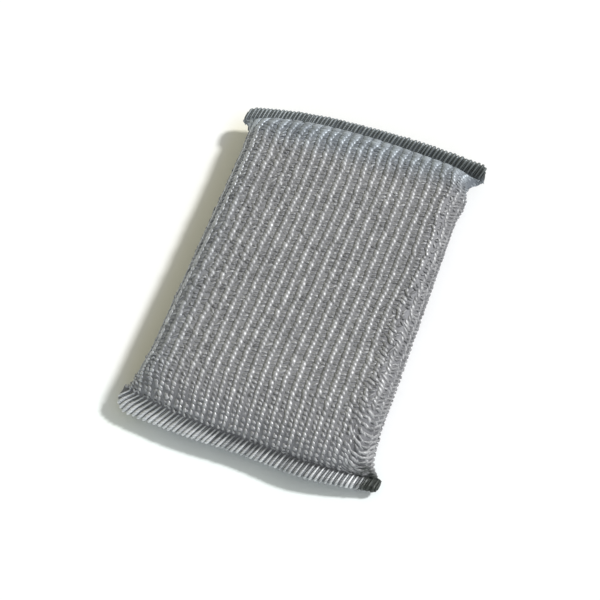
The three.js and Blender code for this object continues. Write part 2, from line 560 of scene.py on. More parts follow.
@dataclass
class Strands:
    """Centre lines of many alike strands, and the flat-oval section that is swept along them."""

    centres: Array
    ups: Array
    half_width: Array
    half_height: Array
    tone: Array

    SIDES = 6
    CAP_SHARE = 0.6

    def __post_init__(self) -> None:
        """Gives every ring its own half width and half height."""
        shape = self.centres.shape[:2]
        self.half_width = np.broadcast_to(self.half_width, shape)
        self.half_height = np.broadcast_to(self.half_height, shape)

    @property
    def parts(self) -> tuple[Array, ...]:
        """The arrays that hold a row for each strand."""
        return self.centres, self.ups, self.half_width, self.half_height, self.tone

    def joined(self, other: "Strands") -> "Strands":
        """Adds another set of strands that have as many rings.

        Args:
            other: The strands to add.

        Returns:
            Both sets as one.
        """
        return Strands(*(np.concatenate(pair) for pair in zip(self.parts, other.parts)))

    def pick(self, chosen: Array) -> "Strands":
        """Takes some of the strands.

        Args:
            chosen: True for each strand to take.

        Returns:
            Those strands.
        """
        return Strands(*(part[chosen] for part in self.parts))

    def sweep(self, lie: PadLie) -> MeshData:
        """Sweeps each strand as a closed tube with a pole at each end, and settles it.

        Args:
            lie: The way that the pad lies.

        Returns:
            One mesh of all the strands.
        """
        count, rings, _ = self.centres.shape
        forward = unit(np.gradient(self.centres, axis=1))
        side = unit(np.cross(forward, self.ups))
        up = np.cross(side, forward)
        angle = -math.pi / 2 + 2 * math.pi * np.arange(self.SIDES) / self.SIDES
        wide = np.cos(angle)[:, None] * self.half_width[..., None, None] * side[:, :, None, :]
        tall = np.sin(angle)[:, None] * self.half_height[..., None, None] * up[:, :, None, :]
        tube = self.centres[:, :, None, :] + wide + tall
        cap = self.CAP_SHARE * self.half_width[:, [0, -1], None]
        poles = self.centres[:, [0, -1]] + cap * forward[:, [0, -1]] * np.array([[[-1.0], [1.0]]])
        points = np.concatenate([tube.reshape(count, -1, 3), poles], axis=1)
        quads, triangles = self._faces(count, rings)
        return MeshData(
            lie.settle(points).reshape(-1, 3),
            quads,
            triangles,
            np.repeat(self.tone, points.shape[1]),
            self._corners(count, rings),
        )

    def _faces(self, count: int, rings: int) -> tuple[Array, Array]:
        """Numbers the faces of all tubes.

        Args:
            count: How many tubes.
            rings: Rings of points in each.

        Returns:
            The quads of the walls and the triangles of the ends.
        """
        sides = self.SIDES
        first = (np.arange(count) * (rings * sides + 2))[:, None, None]
        ring = np.arange(rings - 1)[None, :, None] * sides
        here = np.arange(sides)[None, None, :]
        after = (here + 1) % sides
        near = first + ring
        wall = np.stack([near + here, near + after, near + sides + after, near + sides + here], axis=-1)
        last = first[:, 0] + (rings - 1) * sides
        start, end = first[:, 0] + rings * sides, first[:, 0] + rings * sides + 1
        here, after = here[0], after[0]
        lids = [
            np.stack(np.broadcast_arrays(start, first[:, 0] + after, first[:, 0] + here), axis=-1),
            np.stack(np.broadcast_arrays(end, last + here, last + after), axis=-1),
        ]
        return wall.reshape(-1, 4), np.concatenate(lids).reshape(-1, 3)

    def _corners(self, count: int, rings: int) -> Array:
        """Gives each corner its turn round the strand and its distance along it, in millimetres.

        Args:
            count: How many tubes.
            rings: Rings of points in each.

        Returns:
            Pairs for the corners of the quads, then of the triangles.
        """
        sides = self.SIDES
        steps = np.linalg.norm(np.diff(self.centres, axis=1), axis=-1) / MM
        passed = np.concatenate([np.zeros((count, 1)), np.cumsum(steps, axis=1)], axis=1)
        turn = np.arange(sides) / sides
        next_turn = turn + 1.0 / sides
        near = np.broadcast_to(passed[:, :-1, None], (count, rings - 1, sides))
        far = np.broadcast_to(passed[:, 1:, None], (count, rings - 1, sides))
        here = np.broadcast_to(turn, near.shape)
        after = np.broadcast_to(next_turn, near.shape)
        wall = np.stack([here, near, after, near, after, far, here, far], axis=-1).reshape(-1, 2)
        lids = np.zeros((2 * count * sides * 3, 2))
        return np.concatenate([wall, lids])


class SocketKind(Enum):
    """The kinds of value that a node group takes and gives."""

    COLOUR = "NodeSocketColor"
    NUMBER = "NodeSocketFloat"


def opaque(value: object) -> object:
    """Adds full opacity to a colour, and leaves a number as it is."""
    return (*value, 1.0) if isinstance(value, tuple) else value


def new_group(
    name: str, inputs: dict[str, float | Colour], outputs: dict[str, SocketKind]
) -> bpy.types.NodeTree:
    """Makes a node group with named sockets.

    Args:
        name: The group's name.
        inputs: What each input holds where nothing is linked, a colour or a number.
        outputs: The kind of each output.

    Returns:
        The group, with nothing in it but its sockets.
    """
    group = bpy.data.node_groups.new(name, "ShaderNodeTree")
    for label, value in inputs.items():
        kind = SocketKind.COLOUR if isinstance(value, tuple) else SocketKind.NUMBER
        made = group.interface.new_socket(name=label, in_out="INPUT", socket_type=kind.value)
        made.default_value = opaque(value)
    for label, kind in outputs.items():
        group.interface.new_socket(name=label, in_out="OUTPUT", socket_type=kind.value)
    return group


class NodeSheet:
    """A node tree with short ways to add and link nodes."""

    MIX_SHARE, MIX_FIRST, MIX_SECOND, MIX_RESULT = 0, 6, 7, 2

    def __init__(self, tree: bpy.types.NodeTree) -> None:
        """Takes the tree to work on."""
        self.tree = tree

    def add(self, kind: str, **settings: object) -> bpy.types.Node:
        """Adds a node.

        Args:
            kind: The node's type name.
            **settings: Values for its properties.

        Returns:
            The new node.
        """
        node = self.tree.nodes.new(kind)
        for name, value in settings.items():
            setattr(node, name, value)
        return node

    def link(self, source: bpy.types.NodeSocket, target: bpy.types.NodeSocket) -> None:
        """Links one socket to another."""
        self.tree.links.new(source, target)

    def feed(self, node: bpy.types.Node, **values: object) -> None:
        """Links sockets to a node's inputs, or sets the inputs to numbers or colours.

        Args:
            node: The node.
            **values: A socket, a number or a colour for each input, with _ for a blank in its name.
        """
        for name, value in values.items():
            self.put(node.inputs[name.replace("_", " ")], value)

    def put(self, target: bpy.types.NodeSocket, value: object) -> None:
        """Links a socket to an input, or sets the input to a number or a colour.

        Args:
            target: The input.
            value: A socket, a number or a colour.
        """
        if isinstance(value, bpy.types.NodeSocket):
            self.link(value, target)
        else:
            target.default_value = opaque(value)

    def math(self, operation: str, *values: object) -> bpy.types.NodeSocket:
        """Adds a math node.

        Args:
            operation: What it works out, such as MULTIPLY.
            *values: Sockets or numbers.

        Returns:
            The node's output.
        """
        node = self.add("ShaderNodeMath", operation=operation)
        for target, value in zip(node.inputs, values):
            self.put(target, value)
        return node.outputs[0]

    def rise(self, value: bpy.types.NodeSocket, start: object, end: object) -> bpy.types.NodeSocket:
        """Adds a smooth rise from 0 at start to 1 at end.

        Args:
            value: Where to read the curve.
            start: Where it leaves 0, a socket or a number.
            end: Where it reaches 1, a socket or a number.

        Returns:
            The height of the curve.
        """
        node = self.add("ShaderNodeMapRange", interpolation_type="SMOOTHSTEP")
        self.feed(node, Value=value, From_Min=start, From_Max=end)
        return node.outputs["Result"]

    def mix(
        self, share: object, first: object, second: object, blend_type: str = "MIX"
    ) -> bpy.types.NodeSocket:
        """Adds a colour mix.

        Args:
            share: A socket or a number, 0 for the first colour and 1 for the second.
            first: A socket or a colour.
            second: A socket or a colour.
            blend_type: How the second colour acts on the first, such as MULTIPLY.

        Returns:
            The mixed colour.
        """
        node = self.add("ShaderNodeMix", data_type="RGBA", blend_type=blend_type)
        for place, value in ((self.MIX_SHARE, share), (self.MIX_FIRST, first), (self.MIX_SECOND, second)):
            self.put(node.inputs[place], value)
        return node.outputs[self.MIX_RESULT]

    def place(self, space: str = "Object") -> bpy.types.NodeOutputs:
        """Adds the place of a point, split into its three parts.

        Args:
            space: The coordinates to read, such as Object or Generated.

        Returns:
            The outputs X, Y and Z.
        """
        parts = self.add("ShaderNodeSeparateXYZ")
        self.link(self.add("ShaderNodeTexCoord").outputs[space], parts.inputs[0])
        return parts.outputs

    def noise(self, scale: float, detail: float = 2.0) -> bpy.types.NodeSocket:
        """Adds a noise over the object's own coordinates.

        Args:
            scale: Grains for each metre.
            detail: Octaves of finer noise.

        Returns:
            The noise, about 0.5.
        """
        node = self.add("ShaderNodeTexNoise")
        place = self.add("ShaderNodeTexCoord").outputs["Object"]
        self.feed(node, Vector=place, Scale=scale, Detail=detail)
        return node.outputs["Fac"]


def new_material(name: str) -> tuple[bpy.types.Material, NodeSheet, bpy.types.Node]:
    """Makes a material with a plain shader.

    Args:
        name: The material's name.

    Returns:
        The material, its node sheet and its shader.
    """
    made = bpy.data.materials.new(name)
    made.use_nodes = True
    return made, NodeSheet(made.node_tree), made.node_tree.nodes["Principled BSDF"]


class SharedEffects:
    """The node groups that more than one finish uses."""

    STRIPS = 3.0
    FLECK_SCALE = 2600.0
    FLECK_SPAN = (0.3, 0.7)
    FLECK_TONE = 0.7
    FLECK_HEIGHT = 0.8
    PATCH_SCALE = 170.0
    PATCH_DETAIL = 3.0
    PATCH_TONE = 0.2
    MIDDLE_TONE = 0.45
    # How much lighter the twist's ridges and darker its grooves are: painted shade in the grooves.
    RIDGE_TONE = 0.22
    # Where the yarn gets a painted cool sheen, a reflection of cool light on the back shoulder and the
    # left-hand side.
    COOL_BACK = (42 * MM, 56 * MM)
    COOL_LEFT = (-26 * MM, -38 * MM)
    COOL_LEFT_START = (-61 * MM, -50 * MM)
    COOL_LEFT_SHARE = 0.35
    # Grain, raggedness and full reach of the darkening towards the right-hand seam tips, which on the back
    # seam is painted shade.
    DARK_GRAIN_SCALE = 420.0
    DARK_RAGGED = 12 * MM
    DARK_FULL = 59.5 * MM

    def __init__(self) -> None:
        """Builds each group once."""
        self.yarn = self._metal_yarn()
        self.dark_ends_and_shade = self._dark_ends_and_shade()

    def _metal_yarn(self) -> bpy.types.NodeTree:
        """Builds the look of yarn wound from flat metallic strip.

        Returns:
            A group that takes a light and a dark colour, the cool sheen painted on the back shoulder
            and the left-hand side as a reflection of cool light, and the strand's own tone. It gives the
            colour, the roughness and the height of the strip's twist.
        """
        group = new_group(
            "metal_yarn",
            {
                "Light": (0.7, 0.7, 0.7),
                "Dark": (0.3, 0.3, 0.3),
                "Cast": (0.84, 0.93, 1.0),
                "Tone": 0.5,
                "Smooth": 0.28,
                "Rough": 0.52,
            },
            {"Color": SocketKind.COLOUR, "Roughness": SocketKind.NUMBER, "Height": SocketKind.NUMBER},
        )
        sheet = NodeSheet(group)
        given = sheet.add("NodeGroupInput").outputs
        result = sheet.add("NodeGroupOutput").inputs
        ridge = self._ridge(sheet)
        fleck = sheet.noise(self.FLECK_SCALE)
        patch = sheet.noise(self.PATCH_SCALE, self.PATCH_DETAIL)
        flecked = sheet.math("MULTIPLY", fleck, self.FLECK_TONE)
        uneven = sheet.math("ADD", flecked, sheet.math("MULTIPLY", patch, self.PATCH_TONE))
        share = sheet.math("ADD", given["Tone"], sheet.math("SUBTRACT", uneven, self.MIDDLE_TONE))
        # Painted shade in the twist's grooves.
        twisted = sheet.math("MULTIPLY", sheet.math("SUBTRACT", ridge, 0.5), self.RIDGE_TONE)
        clean = sheet.add("ShaderNodeClamp")
        sheet.link(sheet.math("ADD", share, twisted), clean.inputs["Value"])
        plain = sheet.mix(clean.outputs[0], given["Dark"], given["Light"])
        # Multiplies in the painted cool sheen.
        sheet.link(sheet.mix(self._cool_sheen(sheet), plain, given["Cast"], "MULTIPLY"), result["Color"])
        span = sheet.add("ShaderNodeMapRange")
        low, high = self.FLECK_SPAN
        sheet.feed(span, Value=fleck, From_Min=low, From_Max=high)
        sheet.feed(span, To_Min=given["Smooth"], To_Max=given["Rough"])
        sheet.link(span.outputs["Result"], result["Roughness"])
        raised = sheet.math("MULTIPLY", fleck, self.FLECK_HEIGHT)
        sheet.link(sheet.math("ADD", ridge, raised), result["Height"])
        return group

    def _ridge(self, sheet: NodeSheet) -> bpy.types.NodeSocket:
        """Winds ridges round the strand, one for each strip.

        Args:
            sheet: The group's sheet.

        Returns:
            The height of the ridges, from 0 to 1.
        """
        strand = sheet.add("ShaderNodeSeparateXYZ")
        sheet.link(sheet.add("ShaderNodeUVMap", uv_map="strand").outputs["UV"], strand.inputs[0])
        turns = sheet.math("MULTIPLY_ADD", strand.outputs["X"], self.STRIPS, strand.outputs["Y"])
        wave = sheet.math("SINE", sheet.math("MULTIPLY", turns, 2 * math.pi))
        return sheet.math("MULTIPLY_ADD", wave, 0.5, 0.5)

    def _cool_sheen(self, sheet: NodeSheet) -> bpy.types.NodeSocket:
        """Masks where a cool sheen is painted: the back shoulder and, more weakly, the left-hand side.

        Args:
            sheet: The group's sheet.

        Returns:
            The mask.
        """
        spot = sheet.place()
        left = sheet.math("MULTIPLY", sheet.rise(spot["X"], *self.COOL_LEFT), self.COOL_LEFT_SHARE)
        left = sheet.math("MULTIPLY", left, sheet.rise(spot["Y"], *self.COOL_LEFT_START))
        return sheet.math("MAXIMUM", sheet.rise(spot["Y"], *self.COOL_BACK), left)

    def _dark_ends_and_shade(self) -> bpy.types.NodeTree:
        """Builds the darkening towards the right-hand tips of the seams. On the back seam it spans most of
        the length and is painted shade.

        Returns:
            A group that takes a colour and gives it back darkened towards those tips.
        """
        group = new_group(
            "seam_dark_ends_and_shade",
            {
                "Color": (0.5, 0.5, 0.5),
                "Darkest": (0.05, 0.056, 0.05),
                "Start": 34 * MM,
                "End": 43 * MM,
                "Seam": 56 * MM,
            },
            {"Color": SocketKind.COLOUR},
        )
        sheet = NodeSheet(group)
        given = sheet.add("NodeGroupInput").outputs
        result = sheet.add("NodeGroupOutput").inputs
        spot = sheet.place()
        grain = sheet.math("SUBTRACT", sheet.noise(self.DARK_GRAIN_SCALE), 0.5)
        ragged = sheet.math("ADD", spot["X"], sheet.math("MULTIPLY", grain, self.DARK_RAGGED))
        # Darkens towards the right-hand tips; over the back seam's long span this is painted shade.
        tip = sheet.rise(ragged, given["Start"], given["End"])
        end = sheet.rise(sheet.math("ABSOLUTE", spot["Y"]), given["Seam"], self.DARK_FULL)
        share = sheet.math("MULTIPLY", tip, end)
        sheet.link(sheet.mix(share, given["Color"], given["Darkest"]), result["Color"])
        return group


@dataclass(frozen=True)
class YarnFinish:
    """Metallic yarn of one part of the pad."""

    name: str
    light: Colour
    dark: Colour
    metallic: float
    smooth: float
    rough: float
    bump: float = 0.3
    bump_depth: float = 0.08 * MM
    # Where the colour darkens towards the right-hand seam tips; a long span paints shade.
    dark_from: float = 35.5 * MM
    dark_to: float = 40 * MM

    def material(self, effects: SharedEffects) -> bpy.types.Material:
        """Builds the material.

        Args:
            effects: The shared node groups.

        Returns:
            The finished material.
        """
        made, sheet, shader = new_material(self.name)
        tone = sheet.add("ShaderNodeAttribute", attribute_name="tone").outputs["Fac"]
        yarn = sheet.add("ShaderNodeGroup", node_tree=effects.yarn)
        sheet.feed(yarn, Light=self.light, Dark=self.dark, Tone=tone, Smooth=self.smooth, Rough=self.rough)
        dark_ends_and_shade = sheet.add("ShaderNodeGroup", node_tree=effects.dark_ends_and_shade)
        sheet.feed(dark_ends_and_shade, Color=yarn.outputs["Color"], Start=self.dark_from, End=self.dark_to)
        bump = sheet.add("ShaderNodeBump")
        sheet.feed(bump, Strength=self.bump, Distance=self.bump_depth, Height=yarn.outputs["Height"])
        sheet.feed(
            shader,
            Base_Color=dark_ends_and_shade.outputs["Color"],
            Metallic=self.metallic,
            Roughness=yarn.outputs["Roughness"],
            Normal=bump.outputs["Normal"],
        )
        return made


@dataclass(frozen=True)
class FoamFinish:
    """Open-cell foam."""

    name: str = "open_cell_foam"
    wall: Colour = (0.76, 0.72, 0.6)
    # The wall colour darkened inside the pits: painted shade.
    cell: Colour = (0.52, 0.48, 0.38)
    cells: float = 900.0
    wall_steepness: float = 4.0
    cell_depth: float = 0.4 * MM
    rough: float = 0.95

    def material(self) -> bpy.types.Material:
        """Builds the material.

        Returns:
            The finished material.
        """
        made, sheet, shader = new_material(self.name)
        pores = sheet.add("ShaderNodeTexVoronoi", feature="DISTANCE_TO_EDGE")
        place = sheet.add("ShaderNodeTexCoord").outputs["Object"]
        sheet.feed(pores, Vector=place, Scale=self.cells)
        steep = sheet.math("MULTIPLY", pores.outputs["Distance"], self.wall_steepness)
        depth = sheet.math("MINIMUM", steep, 1.0)
        bump = sheet.add("ShaderNodeBump", invert=True)
        sheet.feed(bump, Distance=self.cell_depth, Height=depth)
        # Darker with depth in the pits: painted shade.
        colour = sheet.mix(depth, self.wall, self.cell)
        sheet.feed(shader, Base_Color=colour, Roughness=self.rough, Normal=bump.outputs["Normal"])
        return made


@dataclass(frozen=True)
class Zones:
    """How far each place of the knit is in each of its zones, from 0 to 1.

    slack is the right-hand side, where the knit hangs loose, and loose is its part above the rungs.
    rungs and wall are the rounds of the right-hand and the left-hand side, and hung is both of them.
    fuss is the band along the left-hand side where the loops stand up, and edge is its outermost row.
    front is the fall towards the front seam, and shade its last courses. gather is the gathered knit
    of the front right corner. level is wherever the courses lie level. flat is where the rows run out,
    flat and smooth, before the back seam.
    """

    slack: Array
    loose: Array
    rungs: Array
    wall: Array
    hung: Array
    fuss: Array
    edge: Array
    front: Array
    shade: Array
    gather: Array
    level: Array
    flat: Array


@dataclass(frozen=True)
class Varied:
    """A value of the plain knit, and what full belonging to each zone adds to it."""

    plain: float = 0.0
    slack: float = 0.0
    loose: float = 0.0
    rungs: float = 0.0
    wall: float = 0.0
    hung: float = 0.0
    fuss: float = 0.0
    edge: float = 0.0
    front: float = 0.0
    shade: float = 0.0
    gather: float = 0.0
    level: float = 0.0
    flat: float = 0.0

    def over(self, zones: Zones) -> Array:
        """Works the value out.

        Args:
            zones: The zones at some places.

        Returns:
            The value at each of them.
        """
        shares = ((getattr(self, zone.name), getattr(zones, zone.name)) for zone in fields(zones))
        return self.plain + sum(weight * share for weight, share in shares if weight)


@dataclass(frozen=True)
class ZonePlan:
    """Where the zones of the knit are: bands round the tube, and spans from one of the seam lines."""

    girth: float
    run: float
    slack: Band = Band((27 * MM, 34 * MM), (54 * MM, 64 * MM))
    slack_end: Span = (-18 * MM, -8 * MM)
    rungs: Band = Band((35 * MM, 39 * MM), (58 * MM, 66 * MM))
    wall: Band = Band((41 * MM, 45 * MM), (58 * MM, 66 * MM))
    fuss: Band = Band((17 * MM, 23 * MM), (44 * MM, 52 * MM))
    edge: Band = Band((35 * MM, 38 * MM), (41 * MM, 44 * MM))
    front: Span = (12 * MM, 26 * MM)
    shade: Span = (0.5 * MM, 2.6 * MM)
    flat: Span = (-13.5 * MM, -6.5 * MM)
    gather: Bulge = Bulge(1.0, 36 * MM, 4 * MM)
    gather_end: Span = (14 * MM, 24 * MM)
    level_share: float = 0.7
    sag: float = 3.2 * MM
    sag_start: Span = (0.0, 7 * MM)

    def at(self, around: Array, along: Array) -> Zones:
        """Finds the zones at places on the knit.

        Args:
            around: Places round the tube.
            along: Distances from the front seam line.

        Returns:
            The share of each zone.
        """
        left = self._leftward(around)
        slack = self.slack.share(around) * (1.0 - ease(along - self.run, *self.slack_end))
        rungs, wall = self.rungs.share(around), self.wall.share(left)
        hung, gather = np.maximum(rungs, wall), self.gathered(around, along)
        return Zones(
            slack=slack,
            loose=slack - slack * rungs,
            rungs=rungs,
            wall=wall,
            hung=hung,
            fuss=self.fuss.share(left),
            edge=self.edge.share(left),
            front=1.0 - ease(along, *self.front),
            shade=1.0 - ease(along, *self.shade),
            gather=gather,
            level=np.maximum(gather, self.level_share * hung),
            flat=ease(along - self.run, *self.flat),
        )

    def gathered(self, around: Array, along: Array) -> Array:
        """Tells where the knit is gathered, at the front right corner."""
        return self.gather.at(around) * (1.0 - ease(along, *self.gather_end))

    def sagged(self, around: Array, along: Array) -> Array:
        """Lets the courses hang in loops where the knit is gathered."""
        return along - self.sag * self.gathered(around, along) * ease(along, *self.sag_start)

    def _leftward(self, around: Array) -> Array:
        """Measures from the middle of the top face towards -X."""
        return self.girth / 2 - np.mod(around + self.girth / 2, self.girth)


@dataclass(frozen=True)
class Stitches:
    """Where the stitches of the knit are, one row for each."""

    plan: ZonePlan
    zones: Zones
    pitch: float
    around: Array
    along: Array


@dataclass(frozen=True)
class WaleBeads:
    """The raised legs of the loops, which stand in line as beads along each wale."""

    half_length: float = 1.15 * MM
    half_width: float = 0.96 * MM
    half_height: float = 0.28 * MM
    rings: int = 6
    size_spread: float = 0.07
    unevenness: Varied = Varied(1.0, slack=1.5, fuss=0.5)
    lean: float = 0.7 * MM
    lean_spread: float = 0.22
    front_lean: float = -0.35
    slack_lean: Span = (0.8, -0.5)
    slack_lean_run: Span = (45 * MM, 80 * MM)
    shift_spread: float = 0.085 * MM
    shift_along: float = 0.5
    length: Varied = Varied(1.0, slack=-0.2, fuss=-0.1, front=-0.28)
    width: Varied = Varied(1.0, slack=-0.25, front=-0.2, flat=0.6)
    height: Varied = Varied(1.0, flat=-0.3)
    first_width: float = 0.65
    first_run: Span = (2 * MM, 8 * MM)
    sink: Varied = Varied(0.3 * MM, slack=-0.08 * MM)
    gather_sink: float = 0.4 * MM
    rung_sink: float = 0.36 * MM
    tip_sink: float = 0.02 * MM
    end_sink: float = 0.12 * MM
    roundness: Varied = Varied(0.88, flat=-0.4)
    taper: float = 0.25
    tone: float = 0.35
    tone_spread: float = 0.2
    # Lighter on the front slope, the outermost left row and the flat row ends: painted highlights. Darker
    # in the last courses before the front seam: painted shade.
    tone_change: Varied = Varied(slack=0.05, edge=0.5, front=0.15, shade=-0.4, flat=0.2)
    # The same yarn as the legs and the ground, in the lightest colours: painted highlight on the raised
    # beads.
    finish: YarnFinish = YarnFinish(
        "raised_knit_yarn", (0.53, 0.53, 0.535), (0.26, 0.26, 0.265), metallic=0.45, smooth=0.38, rough=0.58
    )

    def strands(self, surface: PadSurface, stitches: Stitches, rng: np.random.Generator) -> Strands:
        """Shapes the beads.

        Args:
            surface: The face that they lie on.
            stitches: Where they are.
            rng: Source of the small unevenness.

        Returns:
            One strand for each stitch.
        """
        zones, along, count = stitches.zones, stitches.along, len(stitches.along)
        uneven = self.unevenness.over(zones)
        step = np.linspace(-1.0, 1.0, self.rings)[None, :]
        size = rng.normal(1.0, self.size_spread, (count, 1))
        fallen = zones.slack * blend(*self.slack_lean, ease(along, *self.slack_lean_run))
        leaning = self.lean * (1.0 + fallen + self.front_lean * zones.front)
        lean = leaning * rng.normal(1.0, self.lean_spread * uneven, (count, 1))
        shift = rng.normal(0.0, self.shift_spread * uneven, (count, 1))
        u = stitches.around + shift - lean * step
        length = self.half_length * self.length.over(zones) * size
        v = stitches.plan.sagged(u, along) + length * step + self.shift_along * shift
        sunk = np.maximum(self.gather_sink * zones.gather, self.rung_sink * zones.rungs)
        sunk = sunk + self.sink.over(zones) + self.tip_sink * step + self.end_sink * step**2
        lift = surface.sizes.rib_height - self.half_height - sunk
        centres, ups = surface.points(u, v, lift)
        oval = np.sqrt(1.0 - self.roundness.over(zones) * step**2)
        swell = oval * (1.0 - self.taper * step) * size
        narrow = blend(self.first_width, 1.0, ease(along, *self.first_run))
        tone = rng.normal(self.tone, self.tone_spread, count) + self.tone_change.over(zones).ravel()
        return Strands(
            centres,
            ups,
            self.half_width * self.width.over(zones) * narrow * swell,
            self.half_height * self.height.over(zones) * swell,
            np.clip(tone, 0.0, 1.0),
        )


@dataclass(frozen=True)
class SunkLegs:
    """The sunk legs of the loops: low beside the beads, with a raised stretch between the wales."""

    half_length: float = 0.9 * MM
    half_width: float = 0.5 * MM
    half_height: float = 0.26 * MM
    steps: tuple[float, ...] = (-2.4, -1.6, -1.0, -0.35, 0.35, 1.0, 1.6, 2.4)
    place: float = 0.57
    tail: float = 1.1 * MM
    tail_run: Span = (0.6, 2.4)
    size_spread: float = 0.18
    unevenness: Varied = Varied(1.0, loose=1.2, fuss=0.8)
    level_evenness: float = 0.8
    length: Varied = Varied(1.0, loose=-0.1, hung=0.4, front=-0.42, gather=1.2)
    lean: float = 0.33
    front_lean: float = -0.5
    rung_lean: float = 0.66
    lean_spread: float = 0.24
    shift_spread: float = 0.13 * MM
    wave_spread: float = 0.14 * MM
    crown: Varied = Varied(0.15 * MM, loose=0.14 * MM, fuss=0.06 * MM, level=0.2 * MM)
    front_crown: float = 0.16 * MM
    crown_spread: Varied = Varied(0.5, slack=-0.25)
    sink: Varied = Varied(0.12 * MM, flat=0.25 * MM)
    end_sink: float = 0.1 * MM
    roundness: float = 0.7
    width_spread: float = 0.12
    tone: float = 0.5
    tone_spread: float = 0.2
    # Lighter on the front slope: painted highlight on the legs' crests.
    tone_change: Varied = Varied(slack=-0.2, wall=-0.1, fuss=-0.1, front=0.3)
    # The same yarn as the beads, in darker colours: painted shade on the sunk legs.
    finish: YarnFinish = YarnFinish(
        "sunk_knit_yarn", (0.45, 0.45, 0.455), (0.17, 0.17, 0.175), metallic=0.45, smooth=0.46, rough=0.68
    )

    def strands(self, surface: PadSurface, stitches: Stitches, rng: np.random.Generator) -> Strands:
        """Shapes the legs.

        Args:
            surface: The face that they lie on.
            stitches: Where they are.
            rng: Source of the small unevenness.

        Returns:
            One strand for each stitch.
        """
        zones, count = stitches.zones, len(stitches.along)
        uneven = self.unevenness.over(zones) * (1.0 - self.level_evenness * zones.level)
        step = np.array(self.steps)[None, :]
        middle, end = np.clip(step, -1.0, 1.0), np.sign(step) * ease(np.abs(step), *self.tail_run)
        size = rng.normal(1.0, self.size_spread, (count, 1))
        reach = self.half_length * self.length.over(zones) * size * middle
        tail = self.tail * end
        course_lean = blend(blend(self.lean, self.front_lean, zones.front), self.rung_lean, zones.rungs)
        course_lean = course_lean * (1.0 - zones.gather)
        lean = course_lean + rng.normal(0.0, self.lean_spread, (count, 1)) * uneven
        shift = rng.normal(0.0, self.shift_spread, (2, count, 1)) * uneven
        wave = rng.normal(0.0, self.wave_spread, (count, 1)) * uneven * np.sin(math.pi * middle)
        u = stitches.around + self.place * stitches.pitch + shift[0] + reach + tail
        v = stitches.plan.sagged(u, stitches.along) + shift[1] + lean * reach + wave + course_lean * tail
        free = 1.0 - zones.level
        crown = self.crown.over(zones) + self.front_crown * zones.front * free
        crown = crown * rng.normal(1.0, self.crown_spread.over(zones), (count, 1)) * (1.0 - middle**2)
        hidden = self.end_sink * (middle**2 + np.maximum(0.0, -end) * (1.0 - zones.loose))
        lift = crown - self.sink.over(zones) - hidden * free
        centres, ups = surface.points(u, np.minimum(v, surface.run), lift)
        oval = np.sqrt(1.0 - self.roundness * middle**2)
        swell = oval * rng.normal(1.0, self.width_spread, (count, 1))
        tone = rng.normal(self.tone, self.tone_spread, count) + self.tone_change.over(zones).ravel()
        return Strands(
            centres, ups, self.half_width * swell, self.half_height * swell, np.clip(tone, 0.0, 1.0)
        )


def closed_tube(grid: Array, tone: Array) -> MeshData:
    """Joins rows of points into a tube and closes each end from its top to its underside.

    Args:
        grid: Rows of points, each row a ring round the tube that starts on the top.
        tone: The tone of each point, row by row.

    Returns:
        The closed mesh.
    """
    rows, columns, _ = grid.shape
    row = np.arange(rows - 1)[:, None] * columns
    here = np.arange(columns)[None, :]
    after = (here + 1) % columns
    wall = np.stack([row + here, row + after, row + columns + after, row + columns + here], axis=-1)
    half, quarter = columns // 2, columns // 4
    top = np.arange(quarter - 1)
    right = np.stack([top, top + 1, half - top - 1, half - top], axis=-1)
    left = np.stack([-top % columns, half + top, half + top + 1, columns - top - 1], axis=-1)
    lid = np.concatenate([right, left])
    far = columns - quarter
    tips = np.array([[quarter - 1, quarter, quarter + 1], [far + 1, far - 1, far]])
    last = (rows - 1) * columns
    quads = np.concatenate([wall.reshape(-1, 4), lid[:, ::-1], lid + last])
    triangles = np.concatenate([tips[:, ::-1], tips + last])
    corners = np.zeros((4 * len(quads) + 3 * len(triangles), 2))
    return MeshData(grid.reshape(-1, 3), quads, triangles, tone, corners)


@dataclass(frozen=True)
class KnitGround:
    """The dense ground under the loops: a closed pillow with both hems."""

    sink: float = 0.08 * MM
    columns: int = 192
    hem_rows: int = 6
    shoulder_rows: int = 26
    flat_rows: int = 70
    shoulder: float = 14 * MM
    seam_gap: float = 0.2 * MM
    tone: float = 0.5
    # The ground darkens to nothing at the front seam line and under its hem: painted shade.
    painted_shade_start: Span = (0.3 * MM, 3.2 * MM)
    tone_change: Varied = Varied(slack=-0.35, wall=-0.12, front=-0.22, flat=-0.3)
    # The same yarn as the loops, in the darkest colours: painted shade deep under them.
    finish: YarnFinish = YarnFinish(
        "knit_ground_yarn",
        (0.37, 0.37, 0.385),
        (0.18, 0.18, 0.19),
        metallic=0.4,
        smooth=0.55,
        rough=0.72,
        bump=0.7,
        bump_depth=0.2 * MM,
    )

    def mesh(self, surface: PadSurface, plan: ZonePlan) -> MeshData:
        """Shapes the ground.

        Args:
            surface: The face that it follows.
            plan: Where the zones of the knit are.

        Returns:
            The closed mesh.
        """
        along = self._rows(surface)[:, None]
        around = np.arange(self.columns)[None, :] / self.columns * surface.girth
        points, _ = surface.points(around, along, np.array(-self.sink))
        settled = surface.lie.settle(surface.lie.round_hem_corners(points))
        # Painted shade next to the front seam, then the zones' changes of tone.
        tone = self.tone * ease(along, *self.painted_shade_start) + self.tone_change.over(plan.at(around, along))
        return closed_tube(settled, np.maximum(tone, 0.0).ravel())

    def _rows(self, surface: PadSurface) -> Array:
        """Spaces the rows, closely on the shoulders.

        Args:
            surface: The face that they follow.

        Returns:
            Their distances from the front seam line.
        """
        run, gap = surface.run, self.seam_gap
        hem = np.linspace(-surface.sizes.hem_depth - gap, -gap, self.hem_rows)
        shoulder = np.linspace(gap, self.shoulder, self.shoulder_rows)
        flat = np.linspace(self.shoulder, run - self.shoulder, self.flat_rows)[1:-1]
        return np.concatenate([hem, shoulder, flat, run - shoulder[::-1], run - hem[::-1]])


